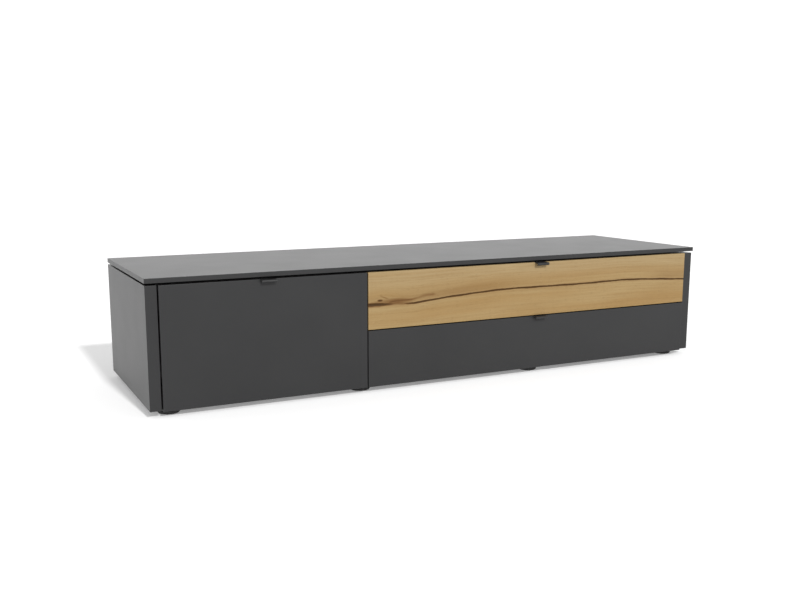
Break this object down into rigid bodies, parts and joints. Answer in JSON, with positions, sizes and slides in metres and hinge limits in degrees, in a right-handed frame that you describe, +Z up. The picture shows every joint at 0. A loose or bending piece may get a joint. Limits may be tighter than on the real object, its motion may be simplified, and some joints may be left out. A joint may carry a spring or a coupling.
{
  "type": "dresser",
  "caption": "Long, low dresser on disc feet: a deep drawer beside stacked wide drawers, a thin top plate over a shadow gap, ball runners and small metal pull tabs.",
  "frame": {"origin": "on the floor under the middle of the whole object's bounding box, pull tabs included", "axes": "+X along the length, to the right seen from the front; +Y to the back, so the drawers open along -Y; +Z up"},
  "size_m": [1.843, 0.554, 0.37],
  "materials": {
    "lacquer": "satin lacquer, dark anthracite",
    "carcase_board": "fine textured board facing, dark grey",
    "back_board": "matt dark grey thin board",
    "oak": "oiled light oak with a natural dark crack",
    "drawer_board": "light grey textured board facing",
    "drawer_base": "light grey textured board facing",
    "tab_metal": "satin anthracite",
    "runner_steel": "zinc plated",
    "fitting_steel": "zinc plated",
    "zinc": "die cast",
    "beech": "fluted beech",
    "foot_plastic": "fine textured black",
    "glide_felt": "pressed black felt",
    "bumper": "soft clear"
  },
  "bodies": {
    "carcase": {"left_side_panel": "lacquer", "right_side_panel": "lacquer", "bottom_panel": "carcase_board", "inner_top_panel": "carcase_board", "centre_divider": "carcase_board", "back_panel_left": "back_board", "back_panel_right": "back_board", "top_plate": "lacquer", "top_plate_spacers": "carcase_board", "top_plate_screws": "fitting_steel", "carcase_dowels": "beech", "cam_housings": "zinc", "cam_bolts": "fitting_steel", "divider_screws": "fitting_steel", "front_feet": "foot_plastic", "rear_feet": "foot_plastic", "foot_screws": "fitting_steel", "foot_glides": "glide_felt", "cabinet_rail_screws": "fitting_steel", "front_bumpers": "bumper", "deep_cabinet_rails": "runner_steel", "lower_cabinet_rails": "runner_steel", "upper_cabinet_rails": "runner_steel"},
    "deep_drawer": {"deep_front": "lacquer", "deep_tab": "tab_metal", "deep_tab_screws": "fitting_steel", "deep_front_screws": "fitting_steel", "deep_box_left": "drawer_board", "deep_box_right": "drawer_board", "deep_box_inner_front": "drawer_board", "deep_box_back": "drawer_board", "deep_box_bottom": "drawer_base", "deep_drawer_rails": "runner_steel", "deep_drawer_rail_screws": "fitting_steel"},
    "deep_runner": {"deep_middle_rails": "runner_steel"},
    "lower_drawer": {"lower_front": "lacquer", "lower_tab": "tab_metal", "lower_tab_screws": "fitting_steel", "lower_front_screws": "fitting_steel", "lower_box_left": "drawer_board", "lower_box_right": "drawer_board", "lower_box_inner_front": "drawer_board", "lower_box_back": "drawer_board", "lower_box_bottom": "drawer_base", "lower_drawer_rails": "runner_steel", "lower_drawer_rail_screws": "fitting_steel"},
    "lower_runner": {"lower_middle_rails": "runner_steel"},
    "upper_drawer": {"upper_front": "oak", "upper_tab": "tab_metal", "upper_tab_screws": "fitting_steel", "upper_front_screws": "fitting_steel", "upper_box_left": "drawer_board", "upper_box_right": "drawer_board", "upper_box_inner_front": "drawer_board", "upper_box_back": "drawer_board", "upper_box_bottom": "drawer_base", "upper_drawer_rails": "runner_steel", "upper_drawer_rail_screws": "fitting_steel"},
    "upper_runner": {"upper_middle_rails": "runner_steel"}
  },
  "joints": [
    {"name": "deep_drawer_slide", "type": "slide", "parent": "carcase", "child": "deep_drawer", "axis": [0, -1, 0], "range_m": [0, 0.45]},
    {"name": "deep_runner_slide", "type": "slide", "parent": "carcase", "child": "deep_runner", "axis": [0, -1, 0], "range_m": [0, 0.225]},
    {"name": "lower_drawer_slide", "type": "slide", "parent": "carcase", "child": "lower_drawer", "axis": [0, -1, 0], "range_m": [0, 0.45]},
    {"name": "lower_runner_slide", "type": "slide", "parent": "carcase", "child": "lower_runner", "axis": [0, -1, 0], "range_m": [0, 0.225]},
    {"name": "upper_drawer_slide", "type": "slide", "parent": "carcase", "child": "upper_drawer", "axis": [0, -1, 0], "range_m": [0, 0.45]},
    {"name": "upper_runner_slide", "type": "slide", "parent": "carcase", "child": "upper_runner", "axis": [0, -1, 0], "range_m": [0, 0.225]}
  ],
  "couplings": [
    {"joint": "deep_runner_slide", "follows": "deep_drawer_slide", "ratio": 0.5},
    {"joint": "lower_runner_slide", "follows": "lower_drawer_slide", "ratio": 0.5},
    {"joint": "upper_runner_slide", "follows": "upper_drawer_slide", "ratio": 0.5}
  ]
}
